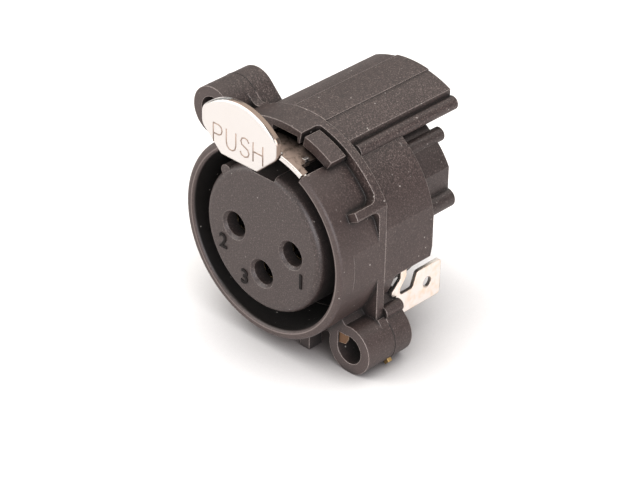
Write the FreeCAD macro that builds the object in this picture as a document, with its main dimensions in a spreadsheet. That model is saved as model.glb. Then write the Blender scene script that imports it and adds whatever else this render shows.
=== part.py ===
import FreeCAD, Part
import math
import os
import Sketcher
from FreeCAD import Placement, Rotation, Vector

# Three-pole panel socket with a push latch.
# The connector's axis is Y and the plug enters towards +Y, X is to the right, Z is up.
# The origin is on the axis, in the plane where the screw bosses seat on the back of the panel.
# Lengths are in millimetres and angles in degrees.

document = FreeCAD.newDocument("panel_socket")

# Driving dimensions
DIMENSIONS = [
    ("cup_radius", 9.6, "bore that takes the plug's shell"),
    ("collar_wall", 1.0, "wall of the collar that passes through the panel"),
    ("lip_reach", 2.6, "from the seating plane forward to the lip"),
    ("lip_round", 0.35, "rounding of the lip's edges"),
    ("seam_depth", 3.8, "from the seating plane back to the seam of the two mouldings"),
    ("flange_thickness", 1.0, "plate along the seam"),
    ("flange_rise", 1.3, "flange and hood above the collar"),
    ("flat_depth", 1.5, "flat sides of the flange and the drum, in from the flange's rim"),
    ("hood_front", 0.4, "front face of the hood over the latch"),
    ("hood_start_angle", -45.0, "hood, from the top towards the right"),
    ("flat_front", 0.7, "front end of the flat sides, ahead of the seating plane"),
    ("slot_half_angle", 29.0, "slot for the latch in the top of the collar, each way"),
    ("window_start_angle", 10.5, "snap window, from the top towards the right"),
    ("window_end_angle", 57.0, "other end of the snap window"),
    ("window_corner", 0.9, "rounded corners at the window's far end, in and outside its wall"),
    ("window_near_corner", 0.4, "rounded corner at the window's other end"),
    ("window_wall_angle", 4.5, "wall at the window's far end"),
    ("window_wall_front", 0.3, "front end of that wall, ahead of the seating plane"),
    ("snap_start_angle", 13.0, "snap arm of the rear moulding, seen in the window"),
    ("snap_end_angle", 31.5, "other end of the snap arm"),
    ("snap_arm_rise", 0.5, "height of the snap arm where it passes the flange"),
    ("snap_head_gap", 0.15, "top of the snap arm's head below the flange's rim"),
    ("snap_gap", 0.4, "groove between the head and the window's rear edge"),
    ("snap_clearance", 0.08, "gap round the snap arm in the flange"),
    ("boss_offset", 9.5, "screw bosses, sideways and up or down from the axis"),
    ("boss_radius", 2.65, "outside of a screw boss"),
    ("boss_rear", 6.2, "rear end of the screw bosses"),
    ("boss_neck", 1.4, "half width of the neck between a boss and the collar, ahead of the seam plate"),
    ("web_round", 1.2, "hollow corner between the seam plate's webs and its rim"),
    ("screw_hole_radius", 1.55, "clearance hole in the front moulding"),
    ("screw_core_radius", 1.15, "hole that the screw cuts its thread in"),
    ("notch_size", 1.5, "square corner of the lower screw hole, from the hole's centre"),
    ("rib_radius", 0.65, "rounded rib between the drum and the lower boss"),
    ("rib_across", 0.8, "centre of that rib to the right of the lower boss"),
    ("rib_rise", 2.9, "centre of that rib above the lower boss"),
    ("foot_inner", 2.9, "inner side of a foot below the collar"),
    ("foot_width", 1.25, "width of a foot"),
    ("foot_drop", 1.5, "underside of the feet below the collar"),
    ("foot_rear", 1.8, "rear face of the feet"),
    ("drum_wall", 1.2, "wall of the drum behind the seam"),
    ("drum_rear", 10.7, "rear rim of the drum"),
    ("drum_chamfer", 0.25, "edge of the drum's rear rim"),
    ("roof_half_width", 5.05, "roof over the latch arm"),
    ("roof_rear", 18.6, "rear end of the roof"),
    ("roof_wall_drop", 0.85, "lower edge of the roof's side walls, in from the cup's bore"),
    ("roof_wall", 0.85, "side walls of the roof"),
    ("roof_skin", 0.6, "thickness of the roof"),
    ("ridge_half_width", 2.1, "raised strip along the roof"),
    ("ridge_rise", 0.15, "height of that strip, its top flush with the hood"),
    ("rail_radius", 0.75, "rounded rail along each side of the roof"),
    ("rail_offset", 0.35, "centre of a rail beside the roof's wall"),
    ("rail_drop", 0.35, "centre of a rail, in from the cup's bore"),
    ("rail_start", 4.6, "front end of the rails"),
    ("lug_window_depth", 5.3, "where the drum is open for the ground lug"),
    ("lug_window_top", 2.9, "upper edge of that opening, below the axis"),
    ("lug_window_bottom", 8.9, "lower edge of that opening, below the axis"),
    ("cup_gap", 1.8, "ring-shaped gap between the contact carrier and the cup"),
    ("insert_round", 0.7, "rounded front edge of the carrier"),
    ("cup_floor", 8.2, "bottom of the annular cup"),
    ("carrier_clearance", 0.05, "radial clearance of the carrier in the drum"),
    ("cap_rise", 0.1, "cap behind the drum, beyond the drum's bore"),
    ("cap_stem_radius", 6.4, "lower half of the cap, which is narrow"),
    ("cap_step_angle", 89.0, "where the cap steps in, from the top to either side"),
    ("cap_rear", 14.9, "rear face of the cap"),
    ("cap_flat_depth", 1.2, "flat sides of the cap, in from its rim"),
    ("lobe_radius", 0.75, "upper ribs on the cap"),
    ("lobe_inset", 0.35, "centre of an upper rib, in from the cap's rim"),
    ("lobe_step", 41.0, "angle between two upper ribs"),
    ("lobe_reach", 1.0, "upper ribs beyond the cap's rear face"),
    ("side_lobe_radius", 1.0, "ribs on the flat sides of the cap"),
    ("side_lobe_rise", 1.25, "centre of those ribs above the axis"),
    ("key_width", 3.0, "notch in the carrier's top, under the latch"),
    ("key_depth", 0.6, "depth of that notch"),
    ("nub_radius", 0.65, "guide rib on the carrier"),
    ("nub_inset", 0.2, "centre of that rib, in from the carrier's rim"),
    ("nub_step", 0.1, "front end of the rib behind the carrier's face"),
    ("nub_angle", 132.0, "place of the guide rib round the axis"),
    ("contact_circle", 3.85, "contacts from the axis"),
    ("socket_mouth_radius", 1.6, "countersunk mouth in the carrier's face"),
    ("socket_hole_radius", 1.3, "hole that the pin passes in the carrier's face"),
    ("contact_recess", 1.6, "face wall in front of a contact"),
    ("contact_radius", 1.85, "outside of a contact"),
    ("contact_bore_radius", 1.22, "bore of a contact, for a 2.4 mm pin"),
    ("contact_bore_depth", 9.5, "length of that bore"),
    ("contact_slot", 0.35, "slots that make the contact springy"),
    ("contact_slot_length", 5.5, "length of those slots"),
    ("tail_radius", 0.55, "rear tail of a contact"),
    ("tail_reach", 3.0, "tail beyond the cap"),
    ("plate_thickness", 0.45, "sheet of the latch"),
    ("plate_clearance", 0.3, "latch's arched plate below the hood"),
    ("plate_half_angle", 22.0, "arched plate, each way from the top"),
    ("shoulder_half_angle", 27.5, "shoulders at the plate's front edge, each way from the top"),
    ("shoulder_length", 0.95, "shoulders along the axis"),
    ("plate_front", 2.25, "front edge of the arched plate, ahead of the seating plane"),
    ("plate_rear", 0.8, "rear edge of the arched plate"),
    ("neck_half_width", 1.9, "strip between the plate and the tab"),
    ("arm_half_width", 1.5, "arm under the roof"),
    ("arm_sink", 0.25, "top of the arm below the plate"),
    ("arm_rear", 6.9, "rear end of the arm"),
    ("arm_room", 0.2, "gap beside the arm and behind it"),
    ("arm_lift_room", 0.5, "recess for the rising arm in the hood"),
    ("hook_place", 5.4, "front face of the hook"),
    ("hook_length", 1.2, "hook along the axis"),
    ("hook_reach", 0.6, "tip of the hook into the cup"),
    ("tab_front", 5.9, "front face of the push tab, ahead of the seating plane"),
    ("tab_depth", 0.6, "depth of the tab with its skirt"),
    ("tab_wall", 0.35, "wall of the tab"),
    ("tab_round", 0.3, "rounded front edge of the tab"),
    ("tab_step", 0.15, "lower edge of the tab above the plate's underside"),
    ("tab_height", 6.45, "height of the tab"),
    ("tab_top_radius", 6.7, "curve of the upper edge"),
    ("tab_half_width", 5.05, "half width of the tab"),
    ("tab_waist", 2.4, "where the tab reaches its full width, above its lower edge"),
    ("tab_foot_half_width", 2.4, "half width of the tab's straight lower edge"),
    ("tab_corner", 1.2, "rounded corners of the tab"),
    ("pivot_forward", 1.75, "pivot of the latch, ahead of the seating plane"),
    ("pivot_drop", 0.75, "pivot of the latch below the top of the cup's bore"),
    ("pivot_radius", 0.3, "pivot stubs"),
    ("pivot_clearance", 0.05, "radial clearance of the stubs in the collar"),
    ("pivot_reach", 0.3, "stubs into the collar"),
    ("pivot_start", 4.2, "inner end of the stubs from the middle"),
    ("tooth_inner", 3.55, "stop tooth on the arched plate, from the middle"),
    ("tooth_width", 0.4, "width of the tooth"),
    ("tooth_front", 0.9, "front of the tooth, ahead of the seating plane"),
    ("tooth_length", 0.6, "tooth along the axis"),
    ("tooth_height", 0.6, "height of the tooth"),
    ("spring_thickness", 0.2, "leaf spring"),
    ("spring_half_width", 1.4, "half width of the leaf spring"),
    ("spring_front", 5.0, "free end of the spring"),
    ("spring_touch", 6.0, "where the spring rests on the arm"),
    ("spring_bend", 7.3, "where the spring bends down to the arm"),
    ("spring_curl", 0.25, "rise of the spring's free end"),
    ("spring_rear", 17.4, "held end of the spring"),
    ("spring_room", 0.1, "gap between the spring's held end and the roof"),
    ("spring_seat_length", 3.0, "bar that holds the spring's rear end"),
    ("spring_seat_depth", 0.6, "that bar, up and down"),
    ("lug_inset", 0.5, "outer face of the ground lug, in from the drum's flat side"),
    ("lug_thickness", 0.4, "sheet of the ground lug"),
    ("lug_rear", 12.7, "rear edge of the lug's head"),
    ("lug_head_front", 9.2, "front corner of the lug's head"),
    ("lug_head_drop", 4.4, "upper edge of the head below the axis"),
    ("lug_bottom_drop", 8.4, "lower edge of the lug below the axis"),
    ("lug_bottom_front", 7.3, "front end of that edge"),
    ("lug_front", 5.55, "front edge of the lug, above the rib"),
    ("lug_rib_drop", 5.85, "lower edge of the lug above the rib, below the axis"),
    ("lug_foot_drop", 7.6, "lower end of the edge that rests on the boss, below the axis"),
    ("lug_slot_drop", 6.05, "bottom of the slot beside the strap, below the axis"),
    ("strap_drop", 3.05, "upper end of the strap below the axis"),
    ("strap_front", 6.75, "front edge of the strap"),
    ("strap_width", 0.85, "width of the strap"),
    ("strap_bend_drop", 4.2, "where the strap turns forward, below the axis"),
    ("strap_foot_drop", 5.3, "where the strap turns down again, below the axis"),
    ("blade_reach", 0.75, "inner end of the strap's blade, in from the cup's bore"),
    ("lug_slope", 0.6, "slanted edges of the lug, along the axis"),
    ("lug_corner", 0.35, "rounded corners of the lug"),
    ("lug_eye_radius", 0.6, "solder eye"),
    ("lug_eye_depth", 10.75, "solder eye behind the seating plane"),
    ("lug_eye_drop", 6.3, "solder eye below the axis"),
    ("tongue_thickness", 0.25, "brass tongue in the corner of the lower screw hole"),
    ("tongue_height", 0.5, "tongue up and down"),
    ("tongue_front", 0.3, "front end of the tongue behind the seating plane"),
]

sheet = document.addObject("Spreadsheet::Sheet", "Dimensions")
for row, (alias, number, meaning) in enumerate(DIMENSIONS, start=1):
    sheet.set("A%d" % row, alias)
    sheet.set("B%d" % row, str(number))
    sheet.set("C%d" % row, meaning)
    sheet.setAlias("B%d" % row, alias)
document.recompute()


class Length:
    """A number together with the formula that the document keeps for it."""

    def __init__(self, number, formula):
        self.number = float(number)
        self.formula = formula

    def __add__(self, other):
        other = as_length(other)
        return Length(self.number + other.number, "(%s + %s)" % (self.formula, other.formula))

    def __sub__(self, other):
        other = as_length(other)
        return Length(self.number - other.number, "(%s - %s)" % (self.formula, other.formula))

    def __mul__(self, other):
        other = as_length(other)
        return Length(self.number * other.number, "(%s * %s)" % (self.formula, other.formula))

    def __truediv__(self, other):
        other = as_length(other)
        return Length(self.number / other.number, "(%s / %s)" % (self.formula, other.formula))

    def __neg__(self):
        return Length(-self.number, "(0 - %s)" % self.formula)


def as_length(value):
    if isinstance(value, Length):
        return value
    return Length(value, "%.6g" % value if value >= 0 else "(0 - %.6g)" % -value)


def size(alias):
    return Length(sheet.get(alias), "Dimensions." + alias)


def sine(angle):
    angle = as_length(angle)
    return Length(math.sin(math.radians(angle.number)), "sin(%s)" % angle.formula)


def cosine(angle):
    angle = as_length(angle)
    return Length(math.cos(math.radians(angle.number)), "cos(%s)" % angle.formula)


def root(value):
    return Length(math.sqrt(value.number), "sqrt(%s)" % value.formula)


def height_on_circle(radius, across):
    """Height of a point on a circle about the axis, from its distance to the middle."""
    return root(radius * radius - across * across)


# Sketches: the front view looks along +Y, the side view looks along -X
def new_body(name):
    body = document.addObject("PartDesign::Body", name)
    body.Label = name
    return body


def new_sketch(body, name, role, offset=0):
    """A sketch on one of the body's own planes, moved along the plane's normal."""
    offset = as_length(offset)
    sketch = body.newObject("Sketcher::SketchObject", name)
    plane = [feature for feature in body.Origin.OriginFeatures if feature.Role == role][0]
    sketch.AttachmentSupport = [(plane, "")]
    sketch.MapMode = "FlatFace"
    sketch.AttachmentOffset = Placement(Vector(0, 0, offset.number), Rotation())
    sketch.setExpression("AttachmentOffset.Base.z", offset.formula)
    return sketch


def front_sketch(body, name, depth=0):
    """A sketch across the axis, at this depth behind the seating plane."""
    return new_sketch(body, name, "XZ_Plane", -as_length(depth))


def side_sketch(body, name, across=0):
    """A sketch along the axis, at this distance to the right of the middle."""
    return new_sketch(body, name, "YZ_Plane", across)


def dimension(sketch, label, constraint, length):
    index = sketch.addConstraint(constraint)
    sketch.renameConstraint(index, label)
    sketch.setExpression("Constraints." + label, length.formula)


def fix_point(sketch, label, geometry, point, place):
    """Hold a point of the sketch at a place measured from the sketch's origin."""
    across, up = as_length(place[0]), as_length(place[1])
    if across.formula == "0" and up.formula == "0":
        sketch.addConstraint(Sketcher.Constraint("Coincident", geometry, point, -1, 1))
        return
    if across.formula == "0":
        sketch.addConstraint(Sketcher.Constraint("PointOnObject", geometry, point, -2))
    else:
        constraint = Sketcher.Constraint("DistanceX", -1, 1, geometry, point, across.number)
        dimension(sketch, label + "_across", constraint, across)
    if up.formula == "0":
        sketch.addConstraint(Sketcher.Constraint("PointOnObject", geometry, point, -1))
    else:
        constraint = Sketcher.Constraint("DistanceY", -1, 1, geometry, point, up.number)
        dimension(sketch, label + "_up", constraint, up)


def draw_circle(sketch, label, radius, place=(0, 0)):
    radius = as_length(radius)
    centre = Vector(as_length(place[0]).number, as_length(place[1]).number, 0)
    circle = sketch.addGeometry(Part.Circle(centre, Vector(0, 0, 1), radius.number), False)
    fix_point(sketch, label, circle, 3, place)
    constraint = Sketcher.Constraint("Radius", circle, radius.number)
    dimension(sketch, label + "_radius", constraint, radius)


def draw_outline(sketch, label, places):
    """A closed outline of straight lines through these places."""
    corners = [Vector(as_length(a).number, as_length(u).number, 0) for a, u in places]
    lines = []
    for start, end in zip(corners, corners[1:] + corners[:1]):
        lines.append(sketch.addGeometry(Part.LineSegment(start, end), False))
    for line, following in zip(lines, lines[1:] + lines[:1]):
        sketch.addConstraint(Sketcher.Constraint("Coincident", line, 2, following, 1))
    for number, (line, place) in enumerate(zip(lines, places)):
        fix_point(sketch, "%s_%d" % (label, number), line, 1, place)


def draw_box(sketch, label, left, bottom, right, top):
    draw_outline(sketch, label, [(left, bottom), (right, bottom), (right, top), (left, top)])


def draw_sector(sketch, label, inner, outer, start, end):
    """A ring sector about the axis; its angles run from the top towards the right."""
    ends = []
    arcs = []
    for radius in (inner, outer):
        circle = Part.Circle(Vector(0, 0, 0), Vector(0, 0, 1), radius.number)
        from_x = math.radians(90 - end.number)
        to_x = math.radians(90 - start.number)
        arc = sketch.addGeometry(Part.ArcOfCircle(circle, from_x, to_x), False)
        arcs.append(arc)
        ends.append([(radius * sine(angle), radius * cosine(angle)) for angle in (end, start)])
    lines = []
    for side in (0, 1):
        places = [Vector(ends[ring][side][0].number, ends[ring][side][1].number, 0)
                  for ring in (0, 1)]
        lines.append(sketch.addGeometry(Part.LineSegment(places[0], places[1]), False))
    for ring, (arc, radius) in enumerate(zip(arcs, (inner, outer))):
        name = "%s_ring%d" % (label, ring)
        sketch.addConstraint(Sketcher.Constraint("Coincident", arc, 3, -1, 1))
        constraint = Sketcher.Constraint("Radius", arc, radius.number)
        dimension(sketch, name + "_radius", constraint, radius)
        for side, line in enumerate(lines):
            sketch.addConstraint(Sketcher.Constraint("Coincident", arc, side + 1, line, ring + 1))
            across, up = ends[ring][side]
            direction, length = "DistanceX", across
            if abs(up.number) < abs(across.number):
                direction, length = "DistanceY", up
            constraint = Sketcher.Constraint(direction, -1, 1, arc, side + 1, length.number)
            dimension(sketch, "%s_end%d" % (name, side), constraint, length)


def draw_arch(sketch, label, radius, right_side, centre=0):
    """A round top about a point of the middle line, with the same corners down both sides."""
    centre = as_length(centre)
    half_width = right_side[0][0]
    corner = height_on_circle(radius, half_width)
    circle = Part.Circle(Vector(0, centre.number, 0), Vector(0, 0, 1), radius.number)
    from_x = math.atan2(corner.number, half_width.number)
    arc = sketch.addGeometry(Part.ArcOfCircle(circle, from_x, math.pi - from_x), False)
    fix_point(sketch, label + "_centre", arc, 3, (0, centre))
    dimension(sketch, label + "_radius", Sketcher.Constraint("Radius", arc, radius.number), radius)
    for point, across in ((1, half_width), (2, -half_width)):
        constraint = Sketcher.Constraint("DistanceX", -1, 1, arc, point, across.number)
        dimension(sketch, "%s_top%d" % (label, point), constraint, across)
    places = list(right_side) + [(-across, up) for across, up in reversed(right_side)]
    top_right = (half_width, centre + corner)
    top_left = (-half_width, centre + corner)
    corners = [Vector(across.number, up.number, 0) for across, up in [top_right] + places + [top_left]]
    lines = []
    for start, end in zip(corners, corners[1:]):
        lines.append(sketch.addGeometry(Part.LineSegment(start, end), False))
    sketch.addConstraint(Sketcher.Constraint("Coincident", arc, 1, lines[0], 1))
    for line, following in zip(lines, lines[1:]):
        sketch.addConstraint(Sketcher.Constraint("Coincident", line, 2, following, 1))
    sketch.addConstraint(Sketcher.Constraint("Coincident", lines[-1], 2, arc, 2))
    for number, place in enumerate(places):
        fix_point(sketch, "%s_%d" % (label, number), lines[number], 2, place)


# Features: pads and pockets run back from a front sketch, and right or both ways from a side one
def pad(body, sketch, length, way="back"):
    feature = body.newObject("PartDesign::Pad", sketch.Name + "_pad")
    feature.Profile = sketch
    feature.Reversed = way == "back"
    feature.Midplane = way == "both"
    feature.setExpression("Length", as_length(length).formula)
    sketch.Visibility = False
    return feature


def pocket(body, sketch, length, way="back"):
    feature = body.newObject("PartDesign::Pocket", sketch.Name + "_pocket")
    feature.Profile = sketch
    feature.Midplane = way == "both"
    feature.setExpression("Length", as_length(length).formula)
    sketch.Visibility = False
    return feature


def turned(body, sketch):
    """Turn a side sketch about the connector's axis."""
    feature = body.newObject("PartDesign::Revolution", sketch.Name + "_turned")
    feature.Profile = sketch
    feature.ReferenceAxis = (sketch, ["H_Axis"])
    feature.Angle = 360
    sketch.Visibility = False
    return feature


def edges_of(feature, wanted):
    """Names of the feature's edges whose middle point and edge pass the test."""
    document.recompute()
    names = []
    for number, edge in enumerate(feature.Shape.Edges, start=1):
        first, last = edge.ParameterRange
        if wanted(edge, edge.valueAt((first + last) / 2)):
            names.append("Edge%d" % number)
    return names


def fillet(body, feature, wanted, radius):
    rounded = body.newObject("PartDesign::Fillet", feature.Name + "_rounded")
    rounded.Base = (feature, edges_of(feature, wanted))
    rounded.setExpression("Radius", radius.formula)
    return rounded


NEAR = 0.02


def is_near(first, second):
    return abs(first - second) < NEAR


# Shared places
lip = -size("lip_reach")
seam = size("seam_depth")
window_rear = seam - size("flange_thickness")
cup_radius = size("cup_radius")
collar_radius = cup_radius + size("collar_wall")
flange_radius = collar_radius + size("flange_rise")
flange_side = flange_radius - size("flat_depth")
drum_radius = cup_radius + size("drum_wall")
drum_rear = size("drum_rear")
boss_rear = size("boss_rear")
boss = size("boss_offset")
boss_places = {"upper": (-boss, boss), "lower": (boss, -boss)}
notch_left = boss - size("notch_size")
notch_top = -notch_left


def draw_webs(sketch, half_width):
    """Webs that join both screw bosses to the round body."""
    half = half_width / math.sqrt(2)
    for name, (across, up) in boss_places.items():
        inward = cup_radius * (0.75 if across.number > 0 else -0.75)
        draw_outline(sketch, "web_" + name, [
            (across - half, up - half),
            (across + half, up + half),
            (inward + half, half - inward),
            (inward - half, -half - inward),
        ])


def draw_side_cuts(sketch):
    """Everything beyond the flat sides, clear of the screw bosses."""
    limit = boss - size("boss_radius")
    far = flange_radius * 2
    draw_box(sketch, "right", flange_side, -limit, far, far)
    draw_box(sketch, "left", -far, -far, -flange_side, limit)


# Front moulding: collar, seam flange, hood over the latch, screw bosses and feet
front_shell = new_body("front_shell")

collar = side_sketch(front_shell, "collar_section")
draw_box(collar, "collar", lip, cup_radius, seam, collar_radius)
turned(front_shell, collar)

flange = front_sketch(front_shell, "flange_outline", window_rear)
draw_circle(flange, "rim", flange_radius)
draw_circle(flange, "bore", cup_radius)
pad(front_shell, flange, size("flange_thickness"))

hood = front_sketch(front_shell, "hood_outline", size("hood_front"))
draw_sector(hood, "hood", collar_radius, flange_radius,
            size("hood_start_angle"), size("window_end_angle"))
pad(front_shell, hood, seam - size("hood_front"))

end_wall = front_sketch(front_shell, "end_wall_outline", -size("window_wall_front"))
draw_sector(end_wall, "wall", (cup_radius + collar_radius) / 2, flange_radius,
            size("window_end_angle"), size("window_end_angle") + size("window_wall_angle"))
pad(front_shell, end_wall, seam + size("window_wall_front"))

window = front_sketch(front_shell, "window_outline", lip)
window_start = size("window_start_angle")
window_end = size("window_end_angle")
draw_sector(window, "window", collar_radius, flange_radius + size("flange_thickness"),
            window_start, window_end)
window_cut = pocket(front_shell, window, window_rear - lip)


def is_radial_edge(edge, middle, *angles):
    """A straight edge on the front of the seam plate that runs outwards at one of these angles."""
    ends_on_plate = all(is_near(vertex.Y, window_rear.number) for vertex in edge.Vertexes)
    angle = math.degrees(math.atan2(middle.x, middle.z))
    return ends_on_plate and any(is_near(angle, wanted.number) for wanted in angles)


def is_far_corner(edge, middle):
    return is_radial_edge(edge, middle, window_end, window_end + size("window_wall_angle"))


def is_near_corner(edge, middle):
    return is_radial_edge(edge, middle, window_start)


far_rounded = fillet(front_shell, window_cut, is_far_corner, size("window_corner"))
fillet(front_shell, far_rounded, is_near_corner, size("window_near_corner"))

snap_arm_radius = collar_radius + size("snap_arm_rise")
gate_angle = size("snap_clearance") * 10
gate = front_sketch(front_shell, "snap_gate_outline", window_rear)
draw_sector(gate, "gate", collar_radius, snap_arm_radius + size("snap_clearance"),
            size("snap_start_angle") - gate_angle, size("snap_end_angle") + gate_angle)
pocket(front_shell, gate, size("flange_thickness"))

necks = front_sketch(front_shell, "boss_neck_outline")
draw_webs(necks, size("boss_neck"))
pad(front_shell, necks, seam)

webs = front_sketch(front_shell, "front_web_outline", window_rear)
draw_webs(webs, size("boss_radius"))
webs_pad = pad(front_shell, webs, size("flange_thickness"))


def is_web_corner(edge, middle):
    first, last = [vertex.Point for vertex in edge.Vertexes] if len(edge.Vertexes) == 2 else (middle, middle)
    is_along = is_near(first.x, last.x) and is_near(first.z, last.z) and not is_near(first.y, last.y)
    is_on_rim = is_near(math.hypot(middle.x, middle.z), flange_radius.number)
    from_diagonal = abs(middle.x + middle.z) / math.sqrt(2)
    return is_along and is_on_rim and is_near(from_diagonal, size("boss_radius").number)


fillet(front_shell, webs_pad, is_web_corner, size("web_round"))

bosses = front_sketch(front_shell, "front_boss_outline")
for name, place in boss_places.items():
    draw_circle(bosses, name, size("boss_radius"), place)
pad(front_shell, bosses, seam)

feet = front_sketch(front_shell, "foot_outline")
foot_inner = size("foot_inner")
foot_outer = foot_inner + size("foot_width")
foot_bottom = -collar_radius - size("foot_drop")
draw_box(feet, "right", foot_inner, foot_bottom, foot_outer, -cup_radius)
draw_box(feet, "left", -foot_outer, foot_bottom, -foot_inner, -cup_radius)
pad(front_shell, feet, size("foot_rear"))

side_cuts = front_sketch(front_shell, "front_side_cuts", -size("flat_front"))
draw_side_cuts(side_cuts)
pocket(front_shell, side_cuts, seam + size("flat_front"))

slot = front_sketch(front_shell, "slot_outline", lip)
slot_angle = size("slot_half_angle")
draw_sector(slot, "slot", cup_radius / 2, collar_radius, -slot_angle, slot_angle)
pocket(front_shell, slot, seam - lip)

recess_half = size("arm_half_width") + size("arm_room")
recess_top = collar_radius + size("arm_lift_room")
recess = front_sketch(front_shell, "arm_recess_outline", size("hood_front"))
draw_box(recess, "recess", -recess_half, cup_radius, recess_half, recess_top)
pocket(front_shell, recess, seam - size("hood_front"))

pivot_height = cup_radius - size("pivot_drop")
pivot_place = (-size("pivot_forward"), pivot_height)
pivot_end = pivot_height * sine(slot_angle) / cosine(slot_angle) + size("pivot_reach")
pivot_hole = side_sketch(front_shell, "pivot_hole_outline")
draw_circle(pivot_hole, "pivot", size("pivot_radius") + size("pivot_clearance"), pivot_place)
pocket(front_shell, pivot_hole, (pivot_end + size("pivot_clearance")) * 2, "both")

screw_holes = front_sketch(front_shell, "screw_hole_outline")
for name, place in boss_places.items():
    draw_circle(screw_holes, name, size("screw_hole_radius"), place)
pocket(front_shell, screw_holes, seam)

front_notch = front_sketch(front_shell, "front_notch_outline")
draw_box(front_notch, "notch", notch_left, -boss, boss, notch_top)
front_notched = pocket(front_shell, front_notch, seam)


def is_lip_edge(edge, middle):
    return is_near(middle.y, lip.number) and edge.Curve.TypeId == "Part::GeomCircle"


fillet(front_shell, front_notched, is_lip_edge, size("lip_round"))

# Rear moulding: roof with its rails, drum, snap arm and the rear halves of the bosses
rear_shell = new_body("rear_shell")
roof_length = size("roof_rear") - seam
roof_half = size("roof_half_width")
roof_base = cup_radius - size("roof_wall_drop")
roof_radius = flange_radius - size("ridge_rise")
tunnel_radius = roof_radius - size("roof_skin")
tunnel_half = roof_half - size("roof_wall")

roof = front_sketch(rear_shell, "roof_outline", seam)
draw_arch(roof, "roof", roof_radius, [(roof_half, roof_base)])
pad(rear_shell, roof, roof_length)

ridge = front_sketch(rear_shell, "ridge_outline", seam)
draw_arch(ridge, "ridge", flange_radius, [(size("ridge_half_width"), roof_base)])
pad(rear_shell, ridge, roof_length)

rails = front_sketch(rear_shell, "rail_outline", size("rail_start"))
rail_across = roof_half + size("rail_offset")
for name, across in (("right", rail_across), ("left", -rail_across)):
    draw_circle(rails, name, size("rail_radius"), (across, cup_radius - size("rail_drop")))
pad(rear_shell, rails, size("roof_rear") - size("rail_start"))

tunnel = front_sketch(rear_shell, "tunnel_outline", seam)
draw_arch(tunnel, "tunnel", tunnel_radius, [(tunnel_half, roof_base / 2)])
pocket(rear_shell, tunnel, roof_length)

drum = side_sketch(rear_shell, "drum_section")
draw_outline(drum, "drum", [
    (seam, cup_radius),
    (drum_rear, cup_radius),
    (drum_rear, drum_radius - size("drum_chamfer")),
    (drum_rear - size("drum_chamfer"), drum_radius),
    (seam, drum_radius),
])
turned(rear_shell, drum)

drum_side_cuts = front_sketch(rear_shell, "rear_side_cuts", seam)
draw_side_cuts(drum_side_cuts)
pocket(rear_shell, drum_side_cuts, drum_rear - seam)

hook_window = front_sketch(rear_shell, "hook_window_outline", seam)
draw_box(hook_window, "window", -recess_half, cup_radius / 2, recess_half, drum_radius)
pocket(rear_shell, hook_window, size("arm_rear") + size("arm_room") - seam)

lug_window = front_sketch(rear_shell, "lug_window_outline", size("lug_window_depth"))
draw_box(lug_window, "window", cup_radius / 2, -size("lug_window_bottom"),
         drum_radius, -size("lug_window_top"))
pocket(rear_shell, lug_window, drum_rear - size("lug_window_depth"))

rear_webs = front_sketch(rear_shell, "rear_web_outline", seam)
draw_webs(rear_webs, size("boss_radius"))
pad(rear_shell, rear_webs, boss_rear - seam)

rear_bosses = front_sketch(rear_shell, "rear_boss_outline", seam)
for name, place in boss_places.items():
    draw_circle(rear_bosses, name, size("boss_radius"), place)
pad(rear_shell, rear_bosses, boss_rear - seam)

rib = front_sketch(rear_shell, "rib_outline", seam)
draw_circle(rib, "rib", size("rib_radius"), (boss + size("rib_across"), size("rib_rise") - boss))
pad(rear_shell, rib, boss_rear - seam)

snap_start = size("snap_start_angle")
snap_end = size("snap_end_angle")
snap_root = front_sketch(rear_shell, "snap_root_outline", seam)
draw_sector(snap_root, "root", (cup_radius + collar_radius) / 2, snap_arm_radius, snap_start, snap_end)
pad(rear_shell, snap_root, size("flange_thickness"))

snap_inner = collar_radius + size("snap_clearance")
snap_arm = front_sketch(rear_shell, "snap_arm_outline", size("hood_front"))
draw_sector(snap_arm, "arm", snap_inner, snap_arm_radius, snap_start, snap_end)
pad(rear_shell, snap_arm, seam - size("hood_front"))

snap_head = front_sketch(rear_shell, "snap_head_outline", size("hood_front"))
draw_sector(snap_head, "head", snap_inner, flange_radius - size("snap_head_gap"), snap_start, snap_end)
pad(rear_shell, snap_head, window_rear - size("hood_front") - size("snap_gap"))

cores = front_sketch(rear_shell, "screw_core_outline", seam)
for name, place in boss_places.items():
    draw_circle(cores, name, size("screw_core_radius"), place)
pocket(rear_shell, cores, boss_rear - seam)

rear_notch = front_sketch(rear_shell, "rear_notch_outline", seam)
draw_box(rear_notch, "notch", notch_left, -boss, boss, notch_top)
pocket(rear_shell, rear_notch, boss_rear - seam)

spring_high = tunnel_radius - size("spring_room")
spring_low = spring_high - size("spring_thickness")
seat_front = size("spring_rear") - size("spring_seat_length")
seat = front_sketch(rear_shell, "spring_seat_outline", seat_front)
draw_box(seat, "seat", -tunnel_half, spring_low - size("spring_seat_depth"), tunnel_half, spring_low)
pad(rear_shell, seat, size("spring_seat_length"))

# Contact carrier: numbered face and stem in the cup, plug of the drum and ribbed cap behind it
insert = new_body("insert")
insert_radius = cup_radius - size("cup_gap")
cap_radius = cup_radius + size("cap_rise")
cap_rear = size("cap_rear")
cup_floor = size("cup_floor")
plug_radius = cup_radius - size("carrier_clearance")

stem = front_sketch(insert, "stem_outline", lip)
draw_circle(stem, "stem", insert_radius)
stem_pad = pad(insert, stem, cap_rear - lip)


def is_face_edge(edge, middle):
    return is_near(middle.y, lip.number)


fillet(insert, stem_pad, is_face_edge, size("insert_round"))

plug = side_sketch(insert, "plug_section")
draw_outline(plug, "plug", [
    (cup_floor, insert_radius / 2),
    (cap_rear, insert_radius / 2),
    (cap_rear, cap_radius),
    (drum_rear, cap_radius),
    (drum_rear, plug_radius),
    (cup_floor, plug_radius),
])
turned(insert, plug)

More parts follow.
